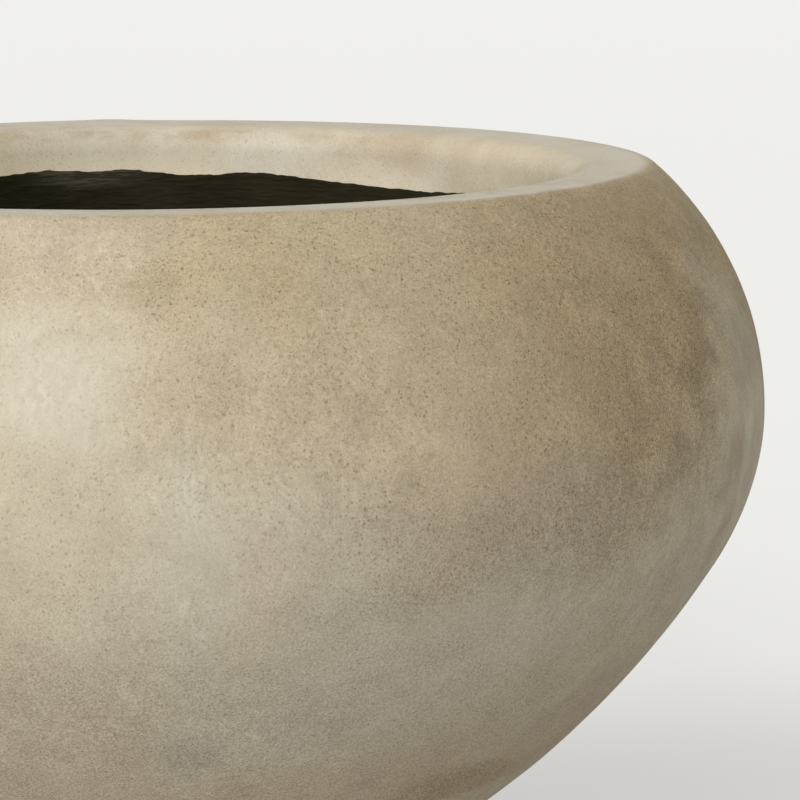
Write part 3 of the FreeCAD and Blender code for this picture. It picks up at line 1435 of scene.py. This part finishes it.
@dataclass
class Studio:
    """A pale floor without edges, soft light from the left, and the photograph's camera."""

    floor_size: float = 120.0
    floor_bounce: Colour = (0.58, 0.57, 0.54)
    floor_lit: Colour = (0.15, 0.15, 0.147)
    floor_near: Colour = (0.575, 0.57, 0.555)
    floor_far: Colour = (0.735, 0.73, 0.71)
    floor_horizon: Colour = (0.75, 0.745, 0.725)
    far_from: Span = (0.02, 0.29)
    horizon_from: Span = (0.0, 9.0)
    surround: Colour = (0.88, 0.87, 0.84)
    fill: float = 0.22
    key: SoftSun = SoftSun("key_light", -37.0, 36.0, 3.1, 50.0)
    edge: SoftSun = SoftSun("edge_light", 118.0, 22.0, 0.4, 50.0)
    lens: float = 112.5
    sensor: float = 36.0
    camera_place: Place = (0.0, -1.1377, 0.42669)
    camera_pitch: float = 10.763
    camera_yaw: float = 5.747
    camera_reach: float = 200.0

    def build(self) -> None:
        """Builds the floor, the light and the camera."""
        self.build_floor()
        self.build_light()
        self.build_camera()

    def build_floor(self) -> None:
        """Lays the floor, which the camera sees paler than the pot does, with the pot's shadow on it."""
        pick()
        bpy.ops.mesh.primitive_plane_add(size=self.floor_size)
        floor = bpy.context.object
        floor.name = "studio_floor"
        paint = Finish("studio_floor", roughness=1.0, specular=0.0, tone=self.floor_bounce)
        sheet = paint.sheet
        seen = sheet.add("ShaderNodeLightPath").outputs["Is Camera Ray"]
        paint.shader.inputs["Emission Strength"].default_value = 1.0
        paint.lay(self.floor_lit, seen)
        paint.feed("Base Color", paint.tone)
        # Painted shade: the camera sees the floor darker towards the camera and paler far off, a falloff
        # of light painted into its glow.
        away = paint.along("Y")
        glow = sheet.lay(self.floor_near, self.floor_far, sheet.step(away, *self.far_from))
        glow = sheet.lay(glow, self.floor_horizon, sheet.step(away, *self.horizon_from))
        paint.feed("Emission Color", sheet.lay(BLACK, glow, seen))
        dress(floor, paint.material)

    def build_light(self) -> None:
        """Sets the soft key light, the light on the far right edge and the pale surround."""
        self.key.shine()
        self.edge.shine()
        world = bpy.data.worlds.new("studio")
        world.use_nodes = True
        bpy.context.scene.world = world
        sheet = NodeSheet(world.node_tree)
        path = sheet.add("ShaderNodeLightPath").outputs
        rays = [path[f"Is {kind} Ray"] for kind in ("Camera", "Glossy", "Transmission")]
        seen = reduce(partial(sheet.sum, "MAXIMUM"), rays)
        background = world.node_tree.nodes["Background"]
        background.inputs["Color"].default_value = opaque(self.surround)
        strength = sheet.step(seen, 0.0, 1.0, start=self.fill, end=1.0)
        world.node_tree.links.new(strength, background.inputs["Strength"])

    def build_camera(self) -> None:
        """Puts the camera where the photograph was taken from."""
        bpy.ops.object.camera_add(location=self.camera_place)
        camera = bpy.context.object
        camera.name = "photo_camera"
        camera.rotation_euler = (math.radians(90 - self.camera_pitch), 0, math.radians(-self.camera_yaw))
        camera.data.lens = self.lens
        camera.data.sensor_width = self.sensor
        camera.data.clip_end = self.camera_reach
        bpy.context.scene.camera = camera
        bpy.context.scene.view_settings.view_transform = "Standard"


def main() -> None:
    """Builds the pot, piece by piece, reports each piece, and builds the studio."""
    stone_low, stone_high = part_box("stone_face")
    section = PotSection(stone_high.x, stone_low.z, stone_high.z)
    lap_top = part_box("inner_coat")[1].z
    flange_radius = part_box("drain_sleeve")[1].x
    pieces = [StoneShell(section).build(), SealingCoat(section, lap_top, flange_radius).build()]
    pieces += Backing().dress() + Drain().dress() + FootPads().dress()
    for piece in pieces:
        log.info("%s: %d faces in %s", piece.name, len(piece.data.polygons), piece.active_material.name)
    Studio().build()


if __name__ == "__main__":
    logging.basicConfig(level=logging.INFO, format="%(name)s: %(message)s")
    main()
